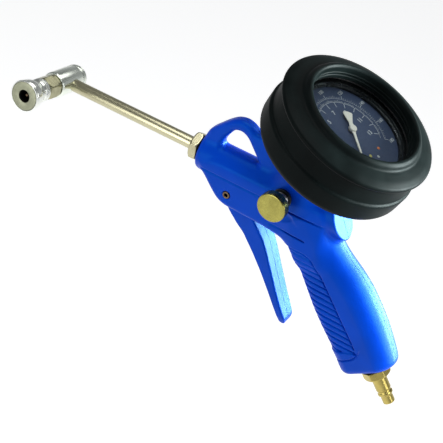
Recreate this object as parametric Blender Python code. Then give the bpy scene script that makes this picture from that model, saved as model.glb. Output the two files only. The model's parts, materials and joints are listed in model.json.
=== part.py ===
"""Hand-held tyre inflator: pistol body, trigger valve, dial gauge in a rubber boot,
bleed button, rigid delivery tube and a swivelling valve chuck.

The frame's origin is the middle of the hand grip. +X runs from the muzzle to the
back of the gun, +Z is up and -Y is the side that carries the bleed button.
Every length below is in millimetres; MM turns it into metres when a mesh is made.
"""
import math

import bmesh
import bpy
from mathutils import Matrix, Vector

MM = 0.001
GAP = 0.3                       # free space between two pieces that touch

# ---- driving dimensions -------------------------------------------------------
BARREL = Vector((-56.0, 0.0, 60.0))   # reference point on the barrel axis, from the grip's middle
TUBE_R = 4.2                    # delivery tube, outside
TUBE_BORE_R = 3.0
HEAD_X = -174.4                 # where the tube axis meets the swivel head's axis
HEAD_R = 8.6
HEAD_TILT = math.radians(8.7)   # the head's axis points this much above sideways
GAUGE_TILT = math.radians(21.5)  # the dial leans back towards the user
GAUGE_X, GAUGE_Z = 29.27, 66.1  # where the gauge axis crosses the boot's front plane
BOOT_R = 50.4
CASE_R = 39.3
GRIP_TILT = math.radians(50.7)  # the grip's axis, below the horizontal
GRIP_BORE_N = 4.6               # the grip's air bore, behind the barrel reference point
BODY_HALF_WIDTH = 12.0
BARREL_R = 11.5
REAR_TILT = math.radians(30)    # the barrel's rear end faces a little upwards
BARREL_DROP = 1.8               # the round barrel's centre lies this far under the bore
PIVOT_X, PIVOT_Z = -37.5, -16.0  # trigger pin
PIN_R = 2.4
VALVE_Z = -17.0                 # trigger valve's axis, parallel to the barrel
VALVE_BORE_R = 5.5
BLEED_Z = 2.3                   # bleed valve's axis, straight out of the left side
KNOB_R = 9.5
KNOB_FACE = 28.0
TRIGGER_HALF_WIDTH = 8.3        # at the cheeks' lower edge
TRIGGER_TAPER = 0.02            # the trigger narrows towards its tip
SLOT_HALF_WIDTH = 9.0           # the trigger's cheeks turn in this slot
SLOT_FRONT, SLOT_BACK, SLOT_ROOF = -47.5, -12.0, -6.6
DUCT_R = 2.6                    # air way through the barrel
GRIP_DUCT_R = 4.0               # air way through the grip
GAUGE_DUCT_R = 1.9              # air way up to the gauge
THREAD_R = 6.8                  # threaded hole for the gauge's socket
INSERT_POCKET_R = 8.5           # pocket in the grip's foot
NOSE_POCKET_R = 6.0             # pocket in the barrel's nose
BLEED_BORE_R = 4.7
EYE_HALF_WIDTH = 4.8            # hanging eye, half thickness
NUT_FLATS = 17.0                # across flats of the three hexagons
PLUG_FLATS = 16.0
CHUCK_FLATS = 14.5
BACK_PLATE_S, BRIDGE_S, PLATE_T = -20.1, -13.3, 0.9   # gauge movement's two plates
SHAFT_R = 0.85                  # both shafts of the movement
SHAFT_HOLE_R = 1.2

# ---- gear train of the gauge ----------------------------------------------------
GEAR_MODULE = 0.5
PINION_TEETH = 8
SECTOR_TEETH = 56               # teeth of the whole wheel that the sector is cut from
SECTOR_CUT = 10                 # teeth that the sector keeps
POINTER_SWEEP = math.radians(274.0)
POINTER_REST = math.radians(-139.0)   # clockwise from the dial's 12 o'clock
SECTOR_SWEEP = POINTER_SWEEP * PINION_TEETH / SECTOR_TEETH
PINION_R = GEAR_MODULE * PINION_TEETH / 2
SECTOR_R = GEAR_MODULE * SECTOR_TEETH / 2
GEAR_CENTRES = PINION_R + SECTOR_R
TAIL_R = 9.0                    # lever arm from the sector's pivot to the link's pin


# ---- local frames -----------------------------------------------------------------
def frame(origin, along, across):
    """A frame whose Z runs along, and whose X runs across."""
    z = Vector(along).normalized()
    x = Vector(across).normalized()
    y = z.cross(x)
    turn = Matrix((x, y, z)).transposed().to_4x4()
    return Matrix.Translation(Vector(origin)) @ turn


GAUGE_N = Vector((math.sin(GAUGE_TILT), 0, math.cos(GAUGE_TILT)))
GAUGE_UP = Vector((-math.cos(GAUGE_TILT), 0, math.sin(GAUGE_TILT)))
REAR_FACE = frame((36.0, 0, 0), (math.cos(REAR_TILT), 0, math.sin(REAR_TILT)), (0, 1, 0))
GRIP_D = Vector((math.cos(GRIP_TILT), 0, -math.sin(GRIP_TILT)))
GRIP_N = Vector((math.sin(GRIP_TILT), 0, math.cos(GRIP_TILT)))
HEAD_C = Vector((0, -math.cos(HEAD_TILT), math.sin(HEAD_TILT)))

PLAIN = Matrix.Identity(4)
TUBE = frame((0, 0, 0), (1, 0, 0), (0, 1, 0))
VALVE = frame((0, 0, VALVE_Z), (1, 0, 0), (0, 1, 0))
BLEED = frame((0, 0, BLEED_Z), (0, -1, 0), (1, 0, 0))
PIVOT = frame((PIVOT_X, 0, PIVOT_Z), (0, 1, 0), (1, 0, 0))
GRIP = frame((0, 0, 0), GRIP_D, GRIP_N)
HEAD = frame((HEAD_X, 0, 0), HEAD_C, (1, 0, 0))
GAUGE = frame((GAUGE_X, 0, GAUGE_Z), GAUGE_N, GAUGE_UP)
SECTOR_PIVOT = Vector((-GEAR_CENTRES, 0))      # in the dial's plane, X towards 12 o'clock
LINK_PIN = SECTOR_PIVOT + Vector((0, -TAIL_R))
LINK_END = Vector((-6.0, -24.6))


# ---- mesh helpers -------------------------------------------------------------------
def turned(profile, steps=24, closed=False):
    """Spin (height, radius) points about Z; a closed profile makes a ring."""
    bm = bmesh.new()
    points = [bm.verts.new((radius, 0, height)) for height, radius in profile]
    edges = [bm.edges.new(pair) for pair in zip(points, points[1:])]
    if closed:
        edges.append(bm.edges.new((points[-1], points[0])))
    bmesh.ops.spin(bm, geom=points + edges, cent=(0, 0, 0), axis=(0, 0, 1),
                   angle=math.tau, steps=steps, use_merge=True)
    bmesh.ops.remove_doubles(bm, verts=bm.verts, dist=1e-4)
    return bm


def rod(low, high, radius, steps=24, chamfer=0.0):
    """A round bar with optional chamfers."""
    profile = [(low, 0), (low, radius - chamfer)]
    if chamfer:
        profile += [(low + chamfer, radius), (high - chamfer, radius)]
    profile += [(high, radius - chamfer), (high, 0)]
    return turned(profile, steps)


def ring(low, high, inner, outer, steps=24, chamfer=0.0):
    """A plain ring with optional chamfers on its outer edges."""
    profile = [(low, inner), (low, outer - chamfer)]
    if chamfer:
        profile += [(low + chamfer, outer), (high - chamfer, outer)]
    profile += [(high, outer - chamfer), (high, inner)]
    return turned(profile, steps, closed=True)


def torus(height, radius, wire, steps=16, sides=6):
    """An O-ring."""
    profile = []
    for side in range(sides):
        angle = math.tau * side / sides
        profile.append((height + wire * math.sin(angle), radius + wire * math.cos(angle)))
    return turned(profile, steps, closed=True)


def prism(outline, low, high):
    """Extrude an (x, y) outline from one height to another."""
    bm = bmesh.new()
    face = bm.faces.new([bm.verts.new((x, y, low)) for x, y in outline])
    grown = bmesh.ops.extrude_face_region(bm, geom=[face])
    top = [item for item in grown["geom"] if isinstance(item, bmesh.types.BMVert)]
    bmesh.ops.translate(bm, verts=top, vec=(0, 0, high - low))
    return bm


def side_slab(outline, half_width, rim=0.0, steps=3):
    """Extrude an (x, z) outline of the gun's side view to both sides, with round rims."""
    bm = prism(outline, rim - half_width, half_width - rim)
    bmesh.ops.recalc_face_normals(bm, faces=bm.faces)
    caps = [face for face in bm.faces if len(face.verts) == len(outline)]
    for step in range(steps if rim else 0):
        a, b = (math.radians(90) * (step + k) / steps for k in (0, 1))
        bmesh.ops.inset_individual(bm, faces=caps, thickness=rim * (math.cos(a) - math.cos(b)),
                                   depth=rim * (math.sin(b) - math.sin(a)), use_even_offset=True)
    bm.transform(Matrix.Rotation(math.radians(90), 4, "X"))
    return bm


def block(low, high):
    """A box from its lowest to its highest corner."""
    outline = [(low[0], low[1]), (high[0], low[1]), (high[0], high[1]), (low[0], high[1])]
    return prism(outline, low[2], high[2])


def hexagon(low, high, across_flats):
    """A hexagon bar."""
    corner = across_flats / math.sqrt(3)
    outline = [(corner * math.cos(math.radians(60 * k + 30)),
                corner * math.sin(math.radians(60 * k + 30))) for k in range(6)]
    return prism(outline, low, high)


def loft(sections):
    """Bridge rings of equal point counts and cap the two ends."""
    bm = bmesh.new()
    rings = [[bm.verts.new(point) for point in section] for section in sections]
    for lower, upper in zip(rings, rings[1:]):
        count = len(lower)
        for k in range(count):
            bm.faces.new((lower[k], lower[(k + 1) % count], upper[(k + 1) % count], upper[k]))
    bm.faces.new(list(reversed(rings[0])))
    bm.faces.new(rings[-1])
    return bm


def oval(height, low, high, half_width, lean=0.0, front_power=3.2, back_power=2.4, count=26):
    """A ring with squarer low-X and rounder high-X corners; lean tips it about Y."""
    middle, half = (low + high) / 2, (high - low) / 2
    points = []
    for k in range(count):
        angle = math.tau * (k + 0.5) / count
        c, s = math.cos(angle), math.sin(angle)
        power = back_power if c > 0 else front_power
        x = middle + half * math.copysign(abs(c) ** (2 / power), c)
        y = half_width * math.copysign(abs(s) ** (2 / power), s)
        points.append((x, y, height + lean * x))
    return points


def coil(low, high, radius, wire, turns, sides=5, steps_per_turn=12):
    """A helical spring from one height to another."""
    steps = int(turns * steps_per_turn)
    rings = []
    for k in range(steps + 1):
        angle = math.tau * turns * k / steps
        height = low + wire + (high - low - 2 * wire) * k / steps
        out = Vector((math.cos(angle), math.sin(angle), 0))
        centre = out * radius + Vector((0, 0, height))
        rings.append([centre + wire * (math.cos(a) * out + math.sin(a) * Vector((0, 0, 1)))
                      for a in (math.tau * side / sides for side in range(sides))])
    return loft(rings)


def rounded(points, radius, steps=3):
    """Round every corner of an outline with a short arc."""
    result = []
    count = len(points)
    for k in range(count):
        here = Vector(points[k])
        before = (Vector(points[k - 1]) - here)
        after = (Vector(points[(k + 1) % count]) - here)
        cut = min(radius, before.length * 0.45, after.length * 0.45)
        start = here + before.normalized() * cut
        end = here + after.normalized() * cut
        for step in range(steps + 1):
            t = step / steps
            result.append(tuple((1 - t) ** 2 * start + 2 * t * (1 - t) * here + t * t * end))
    return result


# ---- objects and materials -------------------------------------------------------------
def material(name, colour, roughness, metallic=0.0, alpha=1.0):
    """A plain Principled material."""
    made = bpy.data.materials.new(name)
    made.use_nodes = True
    shader = made.node_tree.nodes["Principled BSDF"]
    shader.inputs["Base Color"].default_value = (*colour, 1)
    shader.inputs["Roughness"].default_value = roughness
    shader.inputs["Metallic"].default_value = metallic
    shader.inputs["Alpha"].default_value = alpha
    return made


def piece(name, bm, local=PLAIN, look=None, pivot=(0, 0, 0)):
    """Make one object: its mesh in the given local frame, its origin at the pivot."""
    pivot = Vector(pivot)
    bm.transform(Matrix.Translation(-pivot) @ local)
    bm.transform(Matrix.Scale(MM, 4))
    bmesh.ops.recalc_face_normals(bm, faces=bm.faces)
    if bm.calc_volume(signed=True) < 0:
        bmesh.ops.reverse_faces(bm, faces=bm.faces)
    mesh = bpy.data.meshes.new(name)
    bm.to_mesh(mesh)
    bm.free()
    obj = bpy.data.objects.new(name, mesh)
    obj.location = (BARREL + pivot) * MM
    bpy.context.scene.collection.objects.link(obj)
    if look:
        mesh.materials.append(look)
    return obj


def evaluate(obj):
    """Replace an object's mesh by what its modifiers make of it."""
    bpy.context.view_layer.update()
    graph = bpy.context.evaluated_depsgraph_get()
    made = bpy.data.meshes.new_from_object(obj.evaluated_get(graph))
    old = obj.data
    obj.modifiers.clear()
    obj.data = made
    made.name = old.name
    bpy.data.meshes.remove(old)


def triangulate(obj):
    """Split every face of an object into triangles."""
    bm = bmesh.new()
    bm.from_mesh(obj.data)
    bmesh.ops.triangulate(bm, faces=bm.faces)
    bm.to_mesh(obj.data)
    bm.free()


def combine(obj, tool, operation="DIFFERENCE"):
    """Cut a tool out of an object, or join it on, and remove the tool."""
    triangulate(obj)
    triangulate(tool)
    boolean = obj.modifiers.new("combine", "BOOLEAN")
    boolean.operation = operation
    boolean.solver = "EXACT"
    boolean.object = tool
    evaluate(obj)
    bpy.data.objects.remove(tool)


def cut(obj, bm, local=PLAIN):
    """Take a mesh away from an object."""
    combine(obj, piece("cutter", bm, local))


def join(obj, bm, local=PLAIN):
    """Fuse a mesh to an object."""
    combine(obj, piece("joined", bm, local), "UNION")


def bevel(obj, width, segments=2, angle=40):
    """Round the sharp edges of an object."""
    made = obj.modifiers.new("bevel", "BEVEL")
    made.width = width * MM
    made.segments = segments
    made.limit_method = "ANGLE"
    made.angle_limit = math.radians(angle)
    evaluate(obj)


def soften(obj, angle=35):
    """Smooth shading with sharp edges kept."""
    obj.data.shade_smooth()
    obj.data.set_sharp_from_angle(angle=math.radians(angle))


# ---- the body -----------------------------------------------------------------------------
SIDE_OUTLINE = [(-62, -1), (-60.4, -6.2), (-55.6, -11), (-50, -17.3), (-44.5, -22.6),
                (-38.5, -25.0), (-8.5, -26.0), (5, -28.0), (12.5, -31.5), (18, -40),
                (38, -36), (31, -22), (31, -10), (30, 0), (26, 4), (-50, 4)]
EYE_OUTLINE = [(-64.5, 3), (-63.8, 11), (-61, 16), (-51, 26.8), (-45, 31.2), (-39.5, 32.6),
               (-34, 31.4), (-29.5, 28), (-14, 30), (0, 33), (14, 20), (10, 2), (-30, 2)]
EYE_HOLE = [(-52, 7), (-51.3, 15), (-44.8, 25.2), (-39.5, 26.4), (-35.0, 24.2), (-21, 7)]
GRIP_SECTIONS = [            # distance down the grip, front, back, half width, lean
    (18, -10, 17.5, 10.4, 0), (34, -13.2, 19.8, 12.3, 0), (46, -13.8, 20.1, 12.6, 0),
    (62, -14.8, 23.8, 13.1, 0), (75, -15.3, 25.8, 13.3, 0), (88, -15.6, 26.1, 13.4, 0),
    (100, -15.0, 25.8, 13.3, 0), (109, -14.4, 24.9, 13.1, 0.03), (116, -15.4, 24.0, 13.0, 0.065),
    (122.5, -15.4, 22.7, 12.6, 0.065), (124.9, -14.2, 21.2, 11.5, 0.065),
    (125.7, -12.8, 19.6, 10.4, 0.065)]
BOSS_SECTIONS = [            # height along the gauge axis, half length, half width
    (-74, 17.0, 11.2), (-66, 17.6, 12.3), (-58, 16.8, 12.5), (-50, 14.6, 12.5), (-43, 13.0, 12.5)]


def make_body(look):
    """Moulded body: barrel, trigger housing, grip, gauge boss and hanging eye in one."""
    barrel = [(-64.8, 0), (-64.8, 9.4), (-64.0, 10.4), (-61.5, 11.2), (-57.5, BARREL_R),
              (44.0, BARREL_R), (44.0, 0)]
    barrel_frame = frame((0, 0, -BARREL_DROP), (1, 0, 0), (0, 1, 0))
    body = piece("body", turned(barrel, 32), barrel_frame, look)
    cut(body, block((-25, -25, 0), (25, 25, 30)), REAR_FACE)
    slab = piece("slab", side_slab(rounded(SIDE_OUTLINE, 4.0, 2), BODY_HALF_WIDTH, 3.0))
    combine(body, slab, "UNION")
    join(body, loft([oval(*section) for section in GRIP_SECTIONS]), GRIP)
    join(body, loft([oval(height, -half, half, width, 0, 2.3, 2.3, 22)
                     for height, half, width in BOSS_SECTIONS]), GAUGE)
    eye = piece("eye", side_slab(rounded(EYE_OUTLINE, 3.0, 2), EYE_HALF_WIDTH, 2.2))
    cut(eye, side_slab(rounded(EYE_HOLE, 2.5, 3), 8.0))
    combine(body, eye, "UNION")
    slot = [(SLOT_FRONT, SLOT_ROOF), (SLOT_BACK, SLOT_ROOF), (SLOT_BACK, -45), (SLOT_FRONT, -45)]
    cut(body, side_slab(rounded(slot, 2.0, 2), SLOT_HALF_WIDTH))
    cut(body, rod(-20, 20, PIN_R + GAP, 16), PIVOT)
    cut(body, turned([(-70, 0), (-70, NOSE_POCKET_R), (-45.5, NOSE_POCKET_R), (-45.5, DUCT_R),
                      (9, DUCT_R), (9, 0)], 20), TUBE)
    cut(body, turned([(-14, 0), (-14, VALVE_BORE_R), (24, VALVE_BORE_R), (25.5, 3.5), (25.5, 0)],
                     20), VALVE)
    grip_bore = frame(GRIP_N * GRIP_BORE_N, GRIP_D, GRIP_N)
    cut(body, turned([(25.7, 0), (25.7, GRIP_DUCT_R), (117.5, GRIP_DUCT_R),
                      (117.5, INSERT_POCKET_R), (140, INSERT_POCKET_R), (140, 0)], 20), grip_bore)
    cut(body, turned([(-92, 0), (-92, GAUGE_DUCT_R), (-58, GAUGE_DUCT_R), (-58, THREAD_R),
                      (-40, THREAD_R), (-40, 0)], 20), GAUGE)
    cut(body, rod(-4, 20, BLEED_BORE_R, 20), BLEED)
    soften(body, 38)
    return body


def make_front_fitting(brass, steel, nickel, rubber):
    """Insert in the body's nose, the union nut, and the delivery tube."""
    insert = [(-67.4, TUBE_R + GAP), (-67.4, 5.3), (-67.0, 5.7), (-46, 5.7), (-46, 2.6),
              (-59, 2.6), (-59, TUBE_R + GAP)]
    piece("front_insert", turned(insert, 24, True), TUBE, brass)
    nut = piece("tube_nut", hexagon(-71.6, -65.9, NUT_FLATS), TUBE, nickel)
    combine(nut, piece("round", turned([(-72.6, 0), (-72.6, 7.6), (-70.2, 9.9), (-67.3, 9.9),
                                        (-64.7, 7.9), (-64.7, 0)], 24), TUBE), "INTERSECT")
    cut(nut, turned([(-75, 0), (-75, TUBE_R + GAP), (-70.2, TUBE_R + GAP),
                     (-70.2, NOSE_POCKET_R), (-60, NOSE_POCKET_R), (-60, 0)], 20), TUBE)
    piece("tube_ferrule", turned([(-69.9, TUBE_R + 0.2), (-69.9, 5.5), (-69.2, 5.7),
                                  (-67.8, 5.0), (-67.8, TUBE_R + 0.2)], 20, True), TUBE, brass)
    piece("nut_washer", ring(-65.6, -65.1, 6.1, 8.9, 20), TUBE, rubber)
    piece("delivery_tube", ring(HEAD_X + 6.0, -59.3, TUBE_BORE_R, TUBE_R, 24), TUBE, steel)


def make_trigger(look, steel):
    """Long trigger lever and the slotted pin that it turns on."""
    outline = [(-39.2, -23.2), (-35.8, -28.4), (-28.2, -36), (-23.2, -39.8), (-13.4, -51.6),
               (-4.9, -63), (4, -76.4), (11.8, -89.2), (15.4, -95.4), (19.0, -95.6),
               (19.4, -91.5), (11.4, -77.2), (4.2, -62.6), (-3.6, -46.5), (-7.8, -39),
               (-12.6, -33.2), (-17.0, -27.6), (-21.6, -18.4), (-23.4, -13.4), (-27, -10.6),
               (-37.5, -9.6), (-43, -12.2), (-44.4, -17), (-42.6, -20.5)]
    bm = side_slab(rounded(outline, 1.6, 2), TRIGGER_HALF_WIDTH, 1.3, 2)
    for vert in bm.verts:
        vert.co.y *= 1 + TRIGGER_TAPER * (vert.co.z + 24) / TRIGGER_HALF_WIDTH
    trigger = piece("trigger", bm, PLAIN, look, (PIVOT_X, 0, PIVOT_Z))
    cut(trigger, rod(-20, 20, PIN_R + GAP, 16), PIVOT)
    soften(trigger)
    pin = piece("trigger_pin", ring(-12.4, 12.4, 1.3, PIN_R, 20, 0.4), PIVOT, steel)
    cut(pin, block((0, -0.35, -15), (5, 0.35, 15)), PIVOT)
    soften(pin)


def make_valve(brass, steel, rubber):
    """Trigger valve: gland, stem with poppet, seat and spring, on one axis."""
    radius = VALVE_BORE_R - GAP
    gland = piece("valve_gland", turned([(-11.6, 2.4), (-11.6, radius - 0.5), (-11.1, radius),
                                         (-6.4, radius), (-6.4, 3.4), (-8.2, 3.4), (-8.2, 2.4)],
                                        20, True), VALVE, brass)
    soften(gland)
    piece("stem_seal", torus(-7.3, 2.75, 0.55), VALVE, rubber)
    stem = [(-21.5, 0), (-21.2, 1.0), (-20.5, 1.6), (-19.5, 1.9), (6.2, 1.9), (6.2, 4.0),
            (8.6, 4.0), (8.6, 2.2), (11.0, 2.0), (11.4, 0)]
    soften(piece("valve_stem", turned(stem, 16), VALVE, steel, (-21.5, 0, VALVE_Z)))
    piece("poppet_seal", ring(5.2, 5.9, 2.15, 4.3, 16), VALVE, rubber, (-21.5, 0, VALVE_Z))
    seat = [(0.2, 3.0), (0.2, radius), (4.6, radius), (4.6, 4.2), (5.0, 3.8), (5.0, 3.0)]
    piece("valve_seat", turned(seat, 20, True), VALVE, brass)
    piece("valve_spring", coil(8.9, 23.4, 3.1, 0.45, 5.5), VALVE, steel)


def make_inlet(brass, rubber):
    """Threaded insert in the grip's foot, its washer and the hose plug."""
    bore = frame(GRIP_N * GRIP_BORE_N, GRIP_D, GRIP_N)
    piece("inlet_insert", ring(118, 125.7, 6.5, 8.2, 20, 0.4), bore, brass)
    piece("inlet_seal", ring(126.6, 127.3, 6.6, 8.4, 20), bore, rubber)
    plug = piece("inlet_plug", hexagon(127.6, 133.0, PLUG_FLATS), bore, brass)
    combine(plug, piece("round", turned([(127, 0), (127, 8.2), (128.2, 9.3), (131.8, 9.3),
                                         (133.6, 7.9), (133.6, 0)], 24), bore), "INTERSECT")
    join(plug, turned([(120, 0), (120, 5.4), (120.8, 6.2), (129, 6.2), (129, 5.0), (142.6, 5.0),
                       (143.2, 4.4), (144.2, 4.4), (144.8, 5.0), (146.2, 5.0), (147, 4.0),
                       (152.4, 4.0), (153.0, 3.4), (153.0, 0)], 20), bore)
    cut(plug, rod(118, 160, 2.6, 12), bore)
    soften(plug)


def make_head(nickel, chuck_look, rubber, steel):
    """Swivel head on the tube's end, and the valve chuck that turns in it."""
    head = piece("swivel_head", turned([(-12.2, 4.6), (-12.2, 7.9), (-11.5, HEAD_R),
                                        (12.9, HEAD_R), (13.6, 7.9), (13.6, 4.6)], 28, True),
                 HEAD, nickel)
    cut(head, rod(HEAD_X + 2, HEAD_X + 12, TUBE_R + GAP, 16), TUBE)
    soften(head)
    pivot = (HEAD_X, 0, 0)
    cap = [(-14.4, 0), (-14.4, 6.0), (-13.8, 7.4), (-13.1, 7.9), (-12.5, 7.9), (-12.5, 4.2),
           (-11.0, 4.2), (-11.0, 0)]
    soften(piece("swivel_cap", turned(cap, 24), HEAD, nickel, pivot))
    stem = piece("chuck_stem", hexagon(14.2, 25.4, CHUCK_FLATS), HEAD, chuck_look, pivot)
    combine(stem, piece("round", turned([(13.9, 0), (13.9, 7.9), (16.4, 7.9), (17.6, 8.4),
                                         (24.0, 8.4), (26, 7.2), (26, 0)], 24), HEAD), "INTERSECT")
    join(stem, turned([(-10.6, 0), (-10.6, 4.3), (-8.6, 4.3), (-8.6, 3.3), (-6.6, 3.3),
                       (-6.6, 4.3), (-4.6, 4.3), (-4.6, 3.2), (4.6, 3.2), (4.6, 4.3), (6.6, 4.3),
                       (6.6, 3.3), (8.6, 3.3), (8.6, 4.3), (16, 4.3), (16, 5.0), (34.6, 5.0),
                       (34.6, 0)], 16), HEAD)
    cut(stem, rod(-2.5, 40, 1.7, 10), HEAD)
    cross = frame((HEAD_X, 0, 0), (1, 0, 0), (0, 1, 0))
    cut(stem, rod(-5, 5, 1.3, 8), cross)
    soften(stem)
    for name, height in (("swivel_seal_outer", -7.6), ("swivel_seal_inner", 7.6)):
        piece(name, torus(height, 3.95, 0.5), HEAD, rubber, pivot)
    nose = [(25.8, 5.3), (25.8, 7.1), (26.4, 7.6), (30.4, 7.6), (31.0, 7.1), (32.6, 7.3),
            (37.6, 9.5), (42.2, 10.0), (42.6, 9.7), (43.0, 10.3), (44.0, 10.3), (44.4, 10.0),
            (44.4, 4.1), (43.6, 4.1), (43.6, 6.3), (36.3, 6.3), (36.3, 5.3)]
    soften(piece("chuck_nose", turned(nose, 32, True), HEAD, nickel, pivot))
    piece("chuck_seal", ring(36.6, 43.3, 3.8, 6.0, 20), HEAD, rubber, pivot)
    pin = piece("core_depressor", turned([(34.9, 0), (34.9, 4.9), (36.0, 4.9), (36.0, 1.1),
                                          (41.2, 1.1), (41.6, 0.7), (41.6, 0)], 16),
                HEAD, steel, pivot)
    for k in range(3):
        angle = math.tau * k / 3
        hole = HEAD @ Matrix.Translation((3.0 * math.cos(angle), 3.0 * math.sin(angle), 0))
        cut(pin, rod(34, 38, 0.9, 8), hole)
    soften(pin)


def make_bleed(brass, steel, rubber):
    """Bleed valve on the left side: bushing, push button, stem, seal and spring."""
    bushing = [(4.0, 1.9), (4.0, 4.4), (12.8, 4.4), (12.8, 6.4), (14.6, 6.4), (14.6, 3.3),
               (16.6, 3.3), (16.6, 1.9)]
    soften(piece("bleed_bushing", turned(bushing, 20, True), BLEED, brass))
    pivot = (0, -KNOB_FACE, BLEED_Z)
    knob = [(26.0, 0), (26.0, 6.3), (22.0, 6.3), (22.0, 9.0), (22.4, KNOB_R), (27.4, KNOB_R),
            (KNOB_FACE, 9.0), (KNOB_FACE, 0)]
    soften(piece("bleed_button", turned(knob, 36), BLEED, brass, pivot))
    stem = [(1.0, 0), (1.0, 3.0), (2.6, 3.0), (2.6, 1.5), (25.7, 1.5), (25.7, 0)]
    soften(piece("bleed_stem", turned(stem, 14), BLEED, steel, pivot))
    piece("bleed_seal", ring(2.9, 3.6, 1.75, 3.2, 16), BLEED, rubber, pivot)
    piece("bleed_spring", coil(14.9, 25.7, 4.6, 0.4, 4.5), BLEED, steel)


# ---- the gauge ----------------------------------------------------------------------------
BOOT_PROFILE = [(-29.0, 25.0), (-31.8, 25.2), (-32.6, 27.0), (-32.6, 44.0), (-31.4, 47.6),
                (-28.4, 49.3), (-17.2, 49.8), (-16.2, 49.4), (-15.3, 48.2), (-4.2, 48.0),
                (-3.2, 48.4), (-2.6, 49.7), (-1.6, BOOT_R), (-0.6, BOOT_R), (0.5, 49.7),
                (2.2, 46.4), (3.6, 42.0), (4.2, 39.7), (6.6, 38.6), (7.8, 37.0), (7.9, 35.8),
                (6.6, 34.5), (-2.3, 34.0), (-2.3, 41.0), (-29.0, 41.0)]


def make_gauge_shell(rubber, black, glass, dial_look, brass):
    """Rubber boot, steel case with its ring and lens, dial, and the threaded socket."""
    soften(piece("gauge_boot", turned(BOOT_PROFILE, 48, True), GAUGE, rubber), 25)
    case = [(-28.4, 8.6), (-28.4, CASE_R - 1.5), (-26.9, CASE_R), (-9.6, CASE_R),
            (-9.6, CASE_R - 0.9), (-26.6, CASE_R - 0.9), (-27.4, CASE_R - 1.8), (-27.4, 8.6)]
    soften(piece("gauge_case", turned(case, 32, True), GAUGE, black))
    bezel = [(-12.0, CASE_R + 0.4), (-12.0, CASE_R + 1.3), (-2.8, CASE_R + 1.3),
             (-2.6, CASE_R + 1.1), (-2.6, 34.9), (-2.8, 34.6), (-3.1, 34.6), (-3.1, CASE_R + 0.4)]
    soften(piece("gauge_bezel", turned(bezel, 32, True), GAUGE, black))
    piece("gauge_lens", rod(-5.2, -3.4, CASE_R - 0.2, 32), GAUGE, glass)
    spacer = [(-8.9, 32.6), (-8.9, 38.0), (-5.5, 38.0), (-5.5, 33.9), (-7.0, 33.7), (-7.2, 32.9)]
    soften(piece("dial_ring", turned(spacer, 32, True), GAUGE, black))
    piece("gauge_dial", ring(-10.0, -9.2, 1.6, 38.0, 32), GAUGE, dial_look)
    socket = piece("gauge_socket", block((-30, -5, -27.1), (9, 5, -20.4)), GAUGE, brass)
    join(socket, rod(-33.4, -26.5, 8.0, 24), GAUGE)
    join(socket, block((-7.5, -7.5, -41.6), (7.5, 7.5, -33.0)), GAUGE)
    join(socket, rod(-57.4, -41.0, 6.5, 20, 0.6), GAUGE)
    cut(socket, rod(-60, -23.5, 1.6, 12), GAUGE)
    soften(socket)
    piece("socket_seal", ring(-42.7, -41.9, 6.8, 9.2, 24), GAUGE, brass)


def gear_outline(teeth, pitch_radius, kept=None, start=0.0):
    """Simple running teeth with generous backlash, as (x, y) points."""
    step = math.tau / teeth
    kept = kept or teeth
    root, tip = pitch_radius - 1.25 * GEAR_MODULE, pitch_radius + 0.8 * GEAR_MODULE
    points = []
    for k in range(kept):
        middle = start + step * k
        shape = ((root, -0.27), (pitch_radius, -0.18), (tip, -0.08),
                 (tip, 0.08), (pitch_radius, 0.18), (root, 0.27))
        for radius, part in shape:
            angle = middle + step * part
            points.append((radius * math.cos(angle), radius * math.sin(angle)))
    return points


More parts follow.
